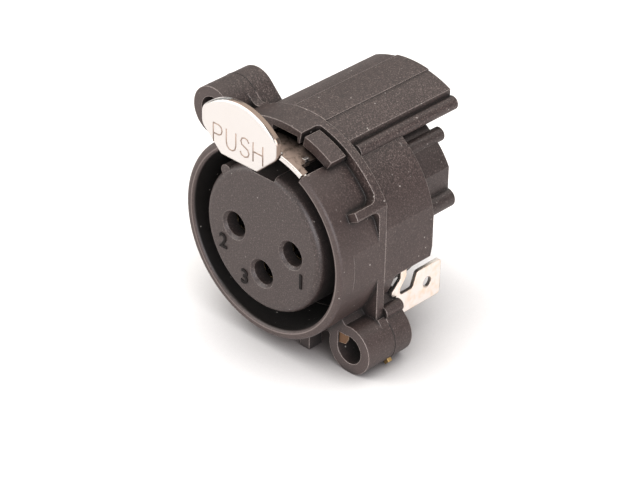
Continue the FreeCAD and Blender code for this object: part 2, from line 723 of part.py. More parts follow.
flats = front_sketch(insert, "flat_outline", drum_rear)
flat_side = cap_radius - size("cap_flat_depth")
draw_box(flats, "right", flat_side, -cap_radius, cap_radius * 2, cap_radius)
draw_box(flats, "left", -cap_radius * 2, -cap_radius, -flat_side, cap_radius)
pocket(insert, flats, cap_rear - drum_rear)

cap_step = front_sketch(insert, "cap_step_outline", drum_rear)
cap_step_angle = size("cap_step_angle")
draw_sector(cap_step, "step", size("cap_stem_radius"), cap_radius * 2,
            cap_step_angle, as_length(360) - cap_step_angle)
pocket(insert, cap_step, cap_rear - drum_rear)

side_lobes = front_sketch(insert, "side_lobe_outline", drum_rear)
for name, across in (("right", flat_side), ("left", -flat_side)):
    draw_circle(side_lobes, name, size("side_lobe_radius"), (across, size("side_lobe_rise")))
pad(insert, side_lobes, cap_rear - drum_rear)

lobes = front_sketch(insert, "lobe_outline", drum_rear)
lobe_offset = cap_radius - size("lobe_inset")
for number in (-1, 0, 1):
    angle = size("lobe_step") * number
    place = (lobe_offset * sine(angle), lobe_offset * cosine(angle))
    draw_circle(lobes, "lobe_%d" % (number + 1), size("lobe_radius"), place)
pad(insert, lobes, cap_rear + size("lobe_reach") - drum_rear)

nub_front = lip + size("nub_step")
nub_offset = insert_radius - size("nub_inset")
nub_angle = size("nub_angle")
nub = front_sketch(insert, "nub_outline", nub_front)
nub_place = (nub_offset * cosine(nub_angle), nub_offset * sine(nub_angle))
draw_circle(nub, "nub", size("nub_radius"), nub_place)
pad(insert, nub, cup_floor - nub_front)

key = front_sketch(insert, "key_outline", lip)
key_half = size("key_width") / 2
draw_box(key, "key", -key_half, insert_radius - size("key_depth"), key_half, insert_radius + key_half)
pocket(insert, key, cup_floor - lip)

contact_circle = size("contact_circle")
contact_places = {
    "contact_1": (contact_circle, as_length(0)),
    "contact_2": (-contact_circle, as_length(0)),
    "contact_3": (as_length(0), -contact_circle),
}
contact_front = lip + size("contact_recess")
contact_radius = size("contact_radius")
pin_radius = size("socket_hole_radius")

holes = front_sketch(insert, "pin_hole_outline", lip)
for name, place in contact_places.items():
    draw_circle(holes, name, pin_radius, place)
pin_holes = pocket(insert, holes, size("contact_recess"))

chambers = front_sketch(insert, "chamber_outline", contact_front)
for name, place in contact_places.items():
    draw_circle(chambers, name, contact_radius + size("carrier_clearance"), place)
chamber_holes = pocket(insert, chambers, cap_rear - contact_front)


def is_mouth_edge(edge, middle):
    if edge.Curve.TypeId != "Part::GeomCircle":
        return False
    return is_near(middle.y, lip.number) and is_near(edge.Curve.Radius, pin_radius.number)


mouths = insert.newObject("PartDesign::Chamfer", "mouths")
mouths.Base = (chamber_holes, edges_of(chamber_holes, is_mouth_edge))
mouths.setExpression("Size", (size("socket_mouth_radius") - pin_radius).formula)

# Contacts: slotted tubes, open to the front, with a round tail
bore_end = contact_front + size("contact_bore_depth")
tail_end = cap_rear + size("tail_reach")
for name, (across, up) in contact_places.items():
    contact = new_body(name)
    section = side_sketch(contact, name + "_section")
    draw_outline(section, "contact", [
        (contact_front, size("contact_bore_radius")),
        (bore_end, size("contact_bore_radius")),
        (bore_end, 0),
        (tail_end, 0),
        (tail_end, size("tail_radius")),
        (cap_rear, size("tail_radius")),
        (cap_rear, contact_radius),
        (contact_front, contact_radius),
    ])
    turned(contact, section)
    slits = front_sketch(contact, name + "_slits", contact_front)
    slit_half = size("contact_slot") / math.sqrt(8)
    draw_outline(slits, "slit", [
        (contact_radius - slit_half, contact_radius + slit_half),
        (-contact_radius - slit_half, slit_half - contact_radius),
        (slit_half - contact_radius, -contact_radius - slit_half),
        (contact_radius + slit_half, contact_radius - slit_half),
    ])
    pocket(contact, slits, size("contact_slot_length"))
    contact.setExpression("Placement.Base.x", across.formula)
    contact.setExpression("Placement.Base.z", up.formula)

# Latch: push tab, neck, arched plate with its pivot stubs and stop tooth, arm and hook
latch_lever = new_body("latch_lever")
sheet_thickness = size("plate_thickness")
plate_outer = collar_radius - size("plate_clearance")
plate_inner = plate_outer - sheet_thickness
plate_front = -size("plate_front")
plate_rear = size("plate_rear")
tab_front = -size("tab_front")
tab_rear = tab_front + size("tab_depth")
tab_wall = size("tab_wall")
tab_half = size("tab_half_width")
tab_foot_half = size("tab_foot_half_width")
tab_bottom = plate_inner + size("tab_step")
tab_waist = tab_bottom + size("tab_waist")

tab = front_sketch(latch_lever, "tab_outline", tab_front)
tab_centre = tab_bottom + size("tab_height") - size("tab_top_radius")
draw_arch(tab, "tab", size("tab_top_radius"), [
    (tab_half, tab_waist),
    (tab_foot_half, tab_bottom),
], tab_centre)
tab_block = pad(latch_lever, tab, size("tab_depth"))


def is_tab_corner(edge, middle):
    first, last = [vertex.Point for vertex in edge.Vertexes]
    return is_near(first.z, last.z) and is_near(abs(first.x + last.x) / 2, tab_half.number)


tab_cornered = fillet(latch_lever, tab_block, is_tab_corner, size("tab_corner"))


def is_tab_rim(edge, middle):
    return is_near(middle.y, tab_front.number)


fillet(latch_lever, tab_cornered, is_tab_rim, size("tab_round"))

hollow = front_sketch(latch_lever, "tab_hollow_outline", tab_front + tab_wall)
draw_arch(hollow, "hollow", size("tab_top_radius") - tab_wall, [
    (tab_half - tab_wall * 2, tab_waist + tab_wall),
    (tab_foot_half - tab_wall, tab_bottom + tab_wall),
], tab_centre)
pocket(latch_lever, hollow, size("tab_depth") - tab_wall)

neck = side_sketch(latch_lever, "neck_section")
draw_box(neck, "neck", tab_front + tab_wall, plate_inner, plate_front + sheet_thickness, plate_outer)
pad(latch_lever, neck, size("neck_half_width") * 2, "both")

plate = front_sketch(latch_lever, "plate_outline", plate_front)
plate_angle = size("plate_half_angle")
draw_sector(plate, "plate", plate_inner, plate_outer, -plate_angle, plate_angle)
pad(latch_lever, plate, plate_rear - plate_front)

shoulders = front_sketch(latch_lever, "shoulder_outline", plate_front)
shoulder_angle = size("shoulder_half_angle")
draw_sector(shoulders, "shoulder", plate_inner, plate_outer, -shoulder_angle, shoulder_angle)
pad(latch_lever, shoulders, size("shoulder_length"))

arm_top = plate_outer - size("arm_sink")
arm_low = arm_top - sheet_thickness
hook_front = size("hook_place")
hook_tip = cup_radius - size("hook_reach")
arm = side_sketch(latch_lever, "arm_section")
draw_outline(arm, "arm", [
    (plate_rear - sheet_thickness * 2, arm_low),
    (hook_front, arm_low),
    (hook_front, hook_tip),
    (hook_front + sheet_thickness, hook_tip),
    (hook_front + size("hook_length"), arm_low),
    (size("arm_rear"), arm_low),
    (size("arm_rear"), arm_top),
    (plate_rear - sheet_thickness * 2, arm_top),
])
pad(latch_lever, arm, size("arm_half_width") * 2, "both")

stub_length = pivot_end - size("pivot_start")
for name, inner in (("right", size("pivot_start")), ("left", -pivot_end)):
    stub = side_sketch(latch_lever, name + "_stub_outline", inner)
    draw_circle(stub, "stub", size("pivot_radius"), pivot_place)
    pad(latch_lever, stub, stub_length, "right")

tooth = front_sketch(latch_lever, "tooth_outline", -size("tooth_front"))
tooth_outer = size("tooth_inner") + size("tooth_width")
tooth_foot = height_on_circle(plate_inner, size("tooth_inner"))
draw_box(tooth, "tooth", size("tooth_inner"), tooth_foot, tooth_outer,
         tooth_foot + size("tooth_height") + size("plate_thickness") / 2)
pad(latch_lever, tooth, size("tooth_length"))

# Leaf spring: held under the roof, its free end rests on the latch arm
latch_spring = new_body("latch_spring")
spring_thickness = size("spring_thickness")
leaf = side_sketch(latch_spring, "leaf_section")
leaf_line = [
    (size("spring_rear"), spring_low),
    (size("spring_bend"), spring_low),
    (size("spring_touch"), arm_top),
    (size("spring_front"), arm_top + size("spring_curl")),
]
draw_outline(leaf, "leaf", leaf_line + [(along, up + spring_thickness) for along, up in reversed(leaf_line)])
pad(latch_spring, leaf, size("spring_half_width") * 2, "both")

# Ground lug: sheet metal beside the lower boss, with a solder eye and a blade into the cup
ground_lug = new_body("ground_lug")
lug_outer = flange_side - size("lug_inset")
lug_inner = lug_outer - size("lug_thickness")
lug_bottom = -size("lug_bottom_drop")
lug_head_front = size("lug_head_front")
lug_head_top = -size("lug_head_drop")
lug_slot_end = -size("lug_slot_drop")
lug_front = size("lug_front")
strap_front = size("strap_front")
strap_rear = strap_front + size("strap_width")
strap_top = -size("strap_drop")
strap_bend = -size("strap_bend_drop")
strap_foot = -size("strap_foot_drop")

lug = side_sketch(ground_lug, "lug_outline", lug_inner)
draw_outline(lug, "lug", [
    (strap_front, strap_top),
    (strap_rear, strap_top),
    (strap_rear, strap_bend),
    (strap_front, strap_foot),
    (strap_front, lug_slot_end),
    (lug_head_front - size("lug_slope"), lug_slot_end),
    (lug_head_front, lug_head_top),
    (size("lug_rear"), lug_head_top),
    (size("lug_rear"), lug_bottom),
    (size("lug_bottom_front"), lug_bottom),
    (boss_rear, -size("lug_foot_drop")),
    (boss_rear, -size("lug_rib_drop")),
    (lug_front, -size("lug_rib_drop")),
    (lug_front, strap_foot),
    (strap_front, strap_bend),
])
lug_plate = pad(ground_lug, lug, size("lug_thickness"), "right")


def is_lug_corner(edge, middle):
    first, last = [vertex.Point for vertex in edge.Vertexes]
    is_across = is_near(first.y, last.y) and is_near(first.z, last.z)
    return is_across and not is_near(middle.y, boss_rear.number)


fillet(ground_lug, lug_plate, is_lug_corner, size("lug_corner"))

blade = front_sketch(ground_lug, "blade_outline", strap_front)
draw_box(blade, "blade", cup_radius - size("blade_reach"), strap_top - size("lug_thickness"),
         lug_inner + size("lug_thickness") / 2, strap_top)
pad(ground_lug, blade, size("strap_width"))

eye = side_sketch(ground_lug, "eye_outline", lug_outer + size("lug_thickness"))
draw_circle(eye, "eye", size("lug_eye_radius"), (size("lug_eye_depth"), -size("lug_eye_drop")))
pocket(ground_lug, eye, size("lug_thickness") * 2)

# Brass tongue that lines the square corner of the lower screw hole
screw_contact = new_body("screw_contact")
tongue = front_sketch(screw_contact, "tongue_outline", size("tongue_front"))
draw_box(tongue, "tongue", notch_left, notch_top - size("tongue_height"),
         notch_left + size("tongue_thickness"), notch_top)
pad(screw_contact, tongue, boss_rear - size("tongue_front"))

# Checks and files
document.recompute()
for item in document.Objects:
    if {"Invalid", "Error"} & set(item.State):
        raise RuntimeError("%s: %s" % (item.Label, item.State))

bodies = [item for item in document.Objects if item.TypeId == "PartDesign::Body"]
os.makedirs("parts", exist_ok=True)
for body in bodies:
    if body.Shape.isNull() or not body.Shape.isValid():
        raise RuntimeError(body.Label + " has no valid shape")
    body.Shape.exportStep("parts/%s.step" % body.Label)
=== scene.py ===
import bmesh
import bpy
import math
from mathutils import Matrix, Vector


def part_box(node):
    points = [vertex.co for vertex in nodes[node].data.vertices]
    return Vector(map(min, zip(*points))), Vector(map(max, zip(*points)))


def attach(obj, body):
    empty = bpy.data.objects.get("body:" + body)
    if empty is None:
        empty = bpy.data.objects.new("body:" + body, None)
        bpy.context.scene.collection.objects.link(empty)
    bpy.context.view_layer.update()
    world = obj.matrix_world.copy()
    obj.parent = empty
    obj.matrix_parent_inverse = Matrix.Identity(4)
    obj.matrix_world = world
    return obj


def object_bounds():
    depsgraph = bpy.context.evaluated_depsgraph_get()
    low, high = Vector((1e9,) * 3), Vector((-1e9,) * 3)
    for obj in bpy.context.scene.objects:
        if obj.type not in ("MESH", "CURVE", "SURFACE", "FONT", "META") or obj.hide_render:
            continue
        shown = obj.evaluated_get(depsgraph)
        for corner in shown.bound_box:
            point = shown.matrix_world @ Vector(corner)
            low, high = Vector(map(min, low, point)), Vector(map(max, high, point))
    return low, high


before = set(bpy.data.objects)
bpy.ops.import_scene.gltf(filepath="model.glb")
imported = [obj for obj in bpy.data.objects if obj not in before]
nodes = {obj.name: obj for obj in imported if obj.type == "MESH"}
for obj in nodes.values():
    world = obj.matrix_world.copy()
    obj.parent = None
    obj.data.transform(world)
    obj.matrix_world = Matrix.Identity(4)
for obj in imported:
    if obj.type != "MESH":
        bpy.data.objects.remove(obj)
cad_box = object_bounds()
MM = 0.001

# Camera at the photograph's viewing angle: from the front, the right and above, through a long lens.
# Its place and its three axes were fitted to the rims and the holes of the socket in the photograph.
camera_data = bpy.data.cameras.new("camera")
camera_data.sensor_width = 36.0
camera_data.lens = 150.94
camera_data.clip_start = 0.01
camera_data.clip_end = 10.0
camera = bpy.data.objects.new("camera", camera_data)
bpy.context.scene.collection.objects.link(camera)
camera_right = Vector((0.7214101, 0.69223172, 0.01956302))
camera_up = Vector((-0.38010086, 0.37219255, 0.84675619))
camera_back = Vector((0.57887028, -0.61829439, 0.53162134))
camera.matrix_world = Matrix((camera_right, camera_up, camera_back)).transposed().to_4x4()
camera.location = Vector((154.910, -159.816, 138.672)) * MM
bpy.context.scene.camera = camera
bpy.context.scene.view_settings.view_transform = "Standard"

# White paper that the socket lies on. The camera sees it brighter than the socket does, and a painted
# shadow darkens it close to the socket, so it shows as white round a soft shadow.
floor_width = 3.0
paper_for_light = (0.72, 0.69, 0.68, 1)
paper_in_shadow = (0.08, 0.06, 0.052, 1)
paper_in_the_open = (0.91, 0.92, 0.925, 1)
shadow_reach = 15.0 * MM
lowest = cad_box[0].z
bpy.ops.mesh.primitive_plane_add(size=floor_width, location=(0, 0, lowest))
floor = bpy.context.object
floor.name = "floor"


def new_material(name):
    """An empty node material with its output and a Principled shader."""
    material = bpy.data.materials.new(name)
    material.use_nodes = True
    tree = material.node_tree
    tree.nodes.clear()
    output = tree.nodes.new("ShaderNodeOutputMaterial")
    shader = tree.nodes.new("ShaderNodeBsdfPrincipled")
    tree.links.new(shader.outputs["BSDF"], output.inputs["Surface"])
    return material, tree, shader, output


def split_by_camera(tree, for_light, for_camera, output):
    """Show one shader to the camera and another one to all other rays."""
    light_path = tree.nodes.new("ShaderNodeLightPath")
    mix = tree.nodes.new("ShaderNodeMixShader")
    tree.links.new(light_path.outputs["Is Camera Ray"], mix.inputs["Fac"])
    tree.links.new(for_light, mix.inputs[1])
    tree.links.new(for_camera, mix.inputs[2])
    tree.links.new(mix.outputs["Shader"], output.inputs["Surface"])


paper, tree, shader, output = new_material("paper")
shader.inputs["Base Color"].default_value = paper_for_light
shader.inputs["Roughness"].default_value = 0.9
bright = tree.nodes.new("ShaderNodeBsdfDiffuse")
openness = tree.nodes.new("ShaderNodeAmbientOcclusion")
openness.inputs["Distance"].default_value = shadow_reach
fade = tree.nodes.new("ShaderNodeMix")
fade.data_type = "RGBA"
fade.inputs["A"].default_value = paper_in_shadow
fade.inputs["B"].default_value = paper_in_the_open
tree.links.new(openness.outputs["AO"], fade.inputs["Factor"])
tree.links.new(fade.outputs["Result"], bright.inputs["Color"])
split_by_camera(tree, shader.outputs["BSDF"], bright.outputs["BSDF"], output)
floor.data.materials.append(paper)

# The studio round it: soft, slightly warm light from everywhere, and plain white for the camera.
room_tint = (1.0, 0.98, 0.96, 1)
room_strength = 0.42
world = bpy.data.worlds.new("studio")
bpy.context.scene.world = world
world.use_nodes = True
tree = world.node_tree
tree.nodes.clear()
output = tree.nodes.new("ShaderNodeOutputWorld")
room = tree.nodes.new("ShaderNodeBackground")
room.inputs["Color"].default_value = room_tint
room.inputs["Strength"].default_value = room_strength
white = tree.nodes.new("ShaderNodeBackground")
white.inputs["Color"].default_value = (1, 1, 1, 1)
split_by_camera(tree, room.outputs["Background"], white.outputs["Background"], output)

# Softboxes: a large one overhead towards the back, one at the left front and a smaller one at the
# right. Each has its place and its side in metres, its power in watts and its tint.
softboxes = [
    ("top_box", (-0.05, 0.10, 0.45), 0.90, 3.2, (1.0, 0.94, 0.88)),
    ("left_box", (-0.30, -0.40, 0.22), 0.60, 3.8, (1.0, 0.97, 0.95)),
    ("right_box", (0.42, -0.24, 0.16), 0.50, 4.0, (0.98, 0.96, 1.0)),
]
for name, place, side, power, tint in softboxes:
    lamp = bpy.data.lights.new(name, "AREA")
    lamp.shape = "SQUARE"
    lamp.size = side
    lamp.energy = power
    lamp.color = tint
    softbox = bpy.data.objects.new(name, lamp)
    softbox.location = place
    softbox.rotation_mode = "QUATERNION"
    softbox.rotation_quaternion = (-Vector(place)).to_track_quat("-Z", "Y")
    bpy.context.scene.collection.objects.link(softbox)

# Front and rear shell: black glass-filled plastic, injection moulded with a fine spark-eroded grain.
# The grain shows most behind the collar and on top. Edges are rubbed paler and carry a painted highlight,
# handling has left light specks of dust, and painted shade darkens inner corners and the cup within its
# lip.


def new_group(name, inputs, outputs):
    """A shader node group with named sockets, and its input and output nodes."""
    group = bpy.data.node_groups.new(name, "ShaderNodeTree")
    for label, kind, value in inputs:
        socket = group.interface.new_socket(label, in_out="INPUT", socket_type=kind)
        if value is not None:
            socket.default_value = value
    for label, kind in outputs:
        group.interface.new_socket(label, in_out="OUTPUT", socket_type=kind)
    start = group.nodes.new("NodeGroupInput")
    end = group.nodes.new("NodeGroupOutput")
    return group, start, end


def feed(tree, value, socket):
    """Link an output socket to an input, or set the input to a plain value."""
    if isinstance(value, bpy.types.NodeSocket):
        tree.links.new(value, socket)
    else:
        socket.default_value = value


def feed_all(tree, node, values):
    """Feed a node's inputs by their names, where _ stands for a space."""
    for label, value in values.items():
        feed(tree, value, node.inputs[label.replace("_", " ")])


def calculate(tree, operation, *values):
    """A Math node fed by sockets or plain numbers; returns its output socket."""
    node = tree.nodes.new("ShaderNodeMath")
    node.operation = operation
    for socket, value in zip(node.inputs, values):
        feed(tree, value, socket)
    return node.outputs[0]


def inverse(tree, value):
    """1 where the value is 0, and 0 where it is 1."""
    return calculate(tree, "SUBTRACT", 1.0, value)


def noise_at(tree, vector, scale, detail=3.0, roughness=0.55):
    """Cloudy noise read at a vector, its scale in waves per metre."""
    node = tree.nodes.new("ShaderNodeTexNoise")
    feed_all(tree, node, {"Vector": vector, "Scale": scale, "Detail": detail, "Roughness": roughness})
    return node.outputs["Fac"]


def ramp_at(tree, factor, low, high):
    """0 below the low value, 1 above the high one, smooth between them."""
    node = tree.nodes.new("ShaderNodeMapRange")
    node.interpolation_type = "SMOOTHSTEP"
    tree.links.new(factor, node.inputs["Value"])
    node.inputs["From Min"].default_value = low
    node.inputs["From Max"].default_value = high
    return node.outputs["Result"]


def openness_at(tree, reach):
    """How open a point is to what lies within a reach: 0 closed in, 1 open."""
    node = tree.nodes.new("ShaderNodeAmbientOcclusion")
    node.samples = 6
    feed(tree, reach, node.inputs["Distance"])
    return node.outputs["AO"]


# Rounded edges, rubbed outer edges that also carry a painted highlight, and painted shade in inner
# corners and cavities, the same on every piece.
edge_wear_and_shade_masks, start, end = new_group("edge_wear_and_shade_masks", [
    ("Radius", "NodeSocketFloat", 0.16 * MM),
    ("Reach", "NodeSocketFloat", 0.30),
    ("Corner Reach", "NodeSocketFloat", 0.8 * MM),
    ("Cavity Reach", "NodeSocketFloat", 7.0 * MM),
], [
    ("Normal", "NodeSocketVector"),
    ("Edge", "NodeSocketFloat"),
    ("Corner", "NodeSocketFloat"),
    ("Cavity", "NodeSocketFloat"),
])
tree = edge_wear_and_shade_masks
bevel = tree.nodes.new("ShaderNodeBevel")
bevel.samples = 6
tree.links.new(start.outputs["Radius"], bevel.inputs["Radius"])
geometry = tree.nodes.new("ShaderNodeNewGeometry")
likeness = tree.nodes.new("ShaderNodeVectorMath")
likeness.operation = "DOT_PRODUCT"
tree.links.new(bevel.outputs["Normal"], likeness.inputs[0])
tree.links.new(geometry.outputs["Normal"], likeness.inputs[1])
edge = calculate(tree, "DIVIDE", inverse(tree, likeness.outputs["Value"]), start.outputs["Reach"])
edge = calculate(tree, "MINIMUM", calculate(tree, "MAXIMUM", edge, 0.0), 1.0)
out_of_corner = ramp_at(tree, openness_at(tree, start.outputs["Corner Reach"]), 0.55, 0.95)
out_of_cavity = ramp_at(tree, openness_at(tree, start.outputs["Cavity Reach"]), 0.10, 0.50)
tree.links.new(bevel.outputs["Normal"], end.inputs["Normal"])
tree.links.new(calculate(tree, "MULTIPLY", edge, out_of_corner), end.inputs["Edge"])
tree.links.new(inverse(tree, out_of_corner), end.inputs["Corner"])
tree.links.new(inverse(tree, out_of_cavity), end.inputs["Cavity"])

# Grain, flow clouds and specks of dust on a black moulding.
moulding, start, end = new_group("moulding", [
    ("Vector", "NodeSocketVector", None),
    ("Grain Scale", "NodeSocketFloat", 4200.0),
    ("Dust", "NodeSocketFloat", 0.5),
], [
    ("Grain", "NodeSocketFloat"),
    ("Cloud", "NodeSocketFloat"),
    ("Dust", "NodeSocketFloat"),
])
tree = moulding
place = start.outputs["Vector"]
cells = tree.nodes.new("ShaderNodeTexVoronoi")
cells.inputs["Scale"].default_value = 1500.0
cells.inputs["Randomness"].default_value = 1.0
tree.links.new(place, cells.inputs["Vector"])
speck = inverse(tree, ramp_at(tree, cells.outputs["Distance"], 0.05, 0.16))
dusty_place = ramp_at(tree, noise_at(tree, place, 900.0, 2.0), 0.56, 0.66)
dust = calculate(tree, "MULTIPLY", calculate(tree, "MULTIPLY", speck, dusty_place), start.outputs["Dust"])
tree.links.new(noise_at(tree, place, start.outputs["Grain Scale"], 4.0, 0.7), end.inputs["Grain"])
tree.links.new(noise_at(tree, place, 260.0, 4.0), end.inputs["Cloud"])
tree.links.new(dust, end.inputs["Dust"])


def mix_colour(tree, factor, first, second):
    """A colour between two, each of them a socket or three plain numbers."""
    node = tree.nodes.new("ShaderNodeMix")
    node.data_type = "RGBA"
    tree.links.new(factor, node.inputs["Factor"])
    for socket, value in ((node.inputs["A"], first), (node.inputs["B"], second)):
        feed(tree, (*value, 1) if isinstance(value, tuple) else value, socket)
    return node.outputs["Result"]


def add_group(tree, group, **values):
    """Place a shader node group in a material and feed its named inputs."""
    node = tree.nodes.new("ShaderNodeGroup")
    node.node_tree = group
    feed_all(tree, node, values)
    return node


def parts_of(tree, vector):
    """The X, Y and Z sockets of a vector."""
    node = tree.nodes.new("ShaderNodeSeparateXYZ")
    tree.links.new(vector, node.inputs["Vector"])
    return node.outputs


def distance_from_axis(tree, place):
    """How far a point is from the socket's long axis, which is Y."""
    across = tree.nodes.new("ShaderNodeVectorMath")
    across.operation = "MULTIPLY"
    across.inputs[1].default_value = (1, 0, 1)
    tree.links.new(place, across.inputs[0])
    length = tree.nodes.new("ShaderNodeVectorMath")
    length.operation = "LENGTH"
    tree.links.new(across.outputs["Vector"], length.inputs[0])
    return length.outputs["Value"]


def add_bump(tree, shader, height, normal, strength, depth):
    """Fine relief on top of the rounded edges' normal."""
    bump = tree.nodes.new("ShaderNodeBump")
    bump.inputs["Strength"].default_value = strength
    bump.inputs["Distance"].default_value = depth
    tree.links.new(height, bump.inputs["Height"])
    tree.links.new(normal, bump.inputs["Normal"])
    tree.links.new(bump.outputs["Normal"], shader.inputs["Normal"])


dust_colour = (0.62, 0.58, 0.54)
painted_shade_plastic = (0.003, 0.002, 0.0015)
behind_collar = (-1.0 * MM, 4.0 * MM)
on_top = (4.0 * MM, 9.0 * MM)


def black_moulding(name, dark, pale, edge_colour_wear_and_light, roughness, grain_scale, grain_depth, dust,
                   gloss=0.5, painted_highlight_ring=None, inside=None, speckled=(0.35, 1.15)):
    """Moulded black plastic with its own grain, sheen and amount of dust.

    speckled is the strength of the specks in front and behind, painted_highlight_ring the radius of a
    painted highlight ring and how far back it reaches, and inside the radius and the front of a cup kept
    dark by painted shade.
    """
    material, tree, shader, _ = new_material(name)
    place = tree.nodes.new("ShaderNodeTexCoord").outputs["Object"]
    surface = add_group(tree, moulding, Vector=place, Grain_Scale=grain_scale, Dust=dust)
    grain = surface.outputs["Grain"]
    edges = add_group(tree, edge_wear_and_shade_masks)
    point = parts_of(tree, place)
    from_axis = distance_from_axis(tree, place)

    behind = ramp_at(tree, point["Y"], *behind_collar)
    above = calculate(tree, "MULTIPLY_ADD", ramp_at(tree, point["Z"], *on_top), 0.7, 0.3)
    coarse = calculate(tree, "MULTIPLY_ADD", calculate(tree, "MULTIPLY", behind, above),
                       speckled[1] - speckled[0], speckled[0])
    speckle = calculate(tree, "SUBTRACT", ramp_at(tree, grain, 0.42, 0.60), 0.5)
    speckle = calculate(tree, "MULTIPLY_ADD", speckle, coarse, 0.5)
    clouded = calculate(tree, "MULTIPLY_ADD", surface.outputs["Cloud"], 0.5, -0.25)
    colour = mix_colour(tree, calculate(tree, "ADD", speckle, clouded), dark, pale)
    # Painted highlight: sparse pale grains that paint a sparkle, strongest behind the collar and on top.
    painted_glint = calculate(tree, "MULTIPLY", ramp_at(tree, grain, 0.58, 0.67), 0.28)
    colour = mix_colour(tree, calculate(tree, "MULTIPLY", painted_glint, coarse), colour, edge_colour_wear_and_light)

    # Painted shade: inner corners, cavities and the cup within its lip turn near black.
    painted_shade = calculate(tree, "MULTIPLY", edges.outputs["Corner"], 0.95)
    painted_shade = calculate(tree, "MAXIMUM", painted_shade, edges.outputs["Cavity"])
    if inside is not None:
        cup_radius, cup_front = inside
        within = calculate(tree, "LESS_THAN", from_axis, cup_radius)
        deeper = ramp_at(tree, point["Y"], cup_front, cup_front + 0.3 * MM)
        painted_shade = calculate(tree, "MAXIMUM", painted_shade, calculate(tree, "MULTIPLY", within, deeper))
    colour = mix_colour(tree, painted_shade, colour, painted_shade_plastic)

    # Edges: partly real wear and partly a painted highlight on the rounded edges, and a painted highlight
    # ring on the lip.
    wear_and_painted_highlight = calculate(tree, "MULTIPLY", edges.outputs["Edge"], ramp_at(tree, grain, 0.2, 0.6))
    if painted_highlight_ring is not None:
        ring_radius, ring_back = painted_highlight_ring
        off_ring = calculate(tree, "ABSOLUTE", calculate(tree, "SUBTRACT", from_axis, ring_radius))
        on_ring = inverse(tree, ramp_at(tree, off_ring, 0.0, 0.1 * MM))
        in_front = calculate(tree, "LESS_THAN", point["Y"], ring_back)
        ring = calculate(tree, "MULTIPLY", calculate(tree, "MULTIPLY", on_ring, in_front), 0.22)
        wear_and_painted_highlight = calculate(tree, "MULTIPLY", wear_and_painted_highlight, calculate(tree, "MULTIPLY_ADD", in_front, -0.6, 1.0))
        wear_and_painted_highlight = calculate(tree, "MAXIMUM", wear_and_painted_highlight, ring)
    colour = mix_colour(tree, wear_and_painted_highlight, colour, edge_colour_wear_and_light)
    colour = mix_colour(tree, surface.outputs["Dust"], colour, dust_colour)
    tree.links.new(colour, shader.inputs["Base Color"])

    sheen = calculate(tree, "MULTIPLY_ADD", grain, 0.22, roughness - 0.11)
    sheen = calculate(tree, "MULTIPLY_ADD", wear_and_painted_highlight, -0.1, sheen)
    sheen = calculate(tree, "MULTIPLY_ADD", edges.outputs["Cavity"], 0.3, sheen)
    tree.links.new(sheen, shader.inputs["Roughness"])
    shader.inputs["Specular IOR Level"].default_value = gloss
    add_bump(tree, shader, grain, edges.outputs["Normal"], 0.55, grain_depth)
    return material


def dress(node, material):
    """Give a CAD node its finish."""
    node.data.materials.clear()
    node.data.materials.append(material)


shell_plastic = black_moulding(
    "shell_plastic", dark=(0.0150, 0.0088, 0.0078), pale=(0.0575, 0.0385, 0.0345),
    edge_colour_wear_and_light=(0.42, 0.36, 0.33), roughness=0.48, grain_scale=6500.0, grain_depth=0.026 * MM, dust=0.6,
    painted_highlight_ring=(9.92 * MM, -2.4 * MM), inside=(9.70 * MM, -2.58 * MM))
dress(nodes["front_shell"], shell_plastic)
dress(nodes["rear_shell"], shell_plastic)

# Seam round the screw bosses: both mouldings end in a small rounding there, so the joint shows
# as a fine dark line. One ring is drawn and repeated on both bosses.
boss_offset = 9.5 * MM
seam_depth = 3.8 * MM
ring_radius = 2.645 * MM
line_radius = 0.045 * MM
boss_places = [(-boss_offset, seam_depth, boss_offset), (boss_offset, seam_depth, -boss_offset)]


def mesh_of(shape):
    """The plain mesh of a curve, a text or an object with a modifier. The object itself goes."""
    bpy.context.scene.collection.objects.link(shape)
    bpy.context.view_layer.update()
    graph = bpy.context.evaluated_depsgraph_get()
    mesh = bpy.data.meshes.new_from_object(shape.evaluated_get(graph))
    bpy.data.objects.remove(shape)
    return mesh


def add_piece(name, mesh, body, material):
    """A piece of the scene that rides on a body, with its doubles merged and its normals outward."""
    shape = bmesh.new()
    shape.from_mesh(mesh)
    bmesh.ops.remove_doubles(shape, verts=shape.verts, dist=0.0005 * MM)
    bmesh.ops.recalc_face_normals(shape, faces=shape.faces)
    shape.to_mesh(mesh)
    shape.free()
    piece = bpy.data.objects.new(name, mesh)
    bpy.context.scene.collection.objects.link(piece)
    mesh.materials.clear()
    mesh.materials.append(material)
    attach(piece, body)
    return piece


def new_node(tree, kind, **values):
    """A node with its named inputs fed."""
    node = tree.nodes.new(kind)
    feed_all(tree, node, values)
    return node


seam_rings = bpy.data.node_groups.new("seam_rings", "GeometryNodeTree")
ring_inputs = {}
for label, kind in (("Geometry", "NodeSocketGeometry"), ("Ring Radius", "NodeSocketFloat"),
                    ("Line Radius", "NodeSocketFloat"), ("Finish", "NodeSocketMaterial")):
    ring_inputs[label] = seam_rings.interface.new_socket(label, in_out="INPUT", socket_type=kind)
seam_rings.interface.new_socket("Geometry", in_out="OUTPUT", socket_type="NodeSocketGeometry")
tree = seam_rings
start = tree.nodes.new("NodeGroupInput")
end = tree.nodes.new("NodeGroupOutput")
ring = new_node(tree, "GeometryNodeCurvePrimitiveCircle", Resolution=96,
                Radius=start.outputs["Ring Radius"])
line = new_node(tree, "GeometryNodeCurvePrimitiveCircle", Resolution=8,
                Radius=start.outputs["Line Radius"])
tube = new_node(tree, "GeometryNodeCurveToMesh", Curve=ring.outputs["Curve"],
                Profile_Curve=line.outputs["Curve"])
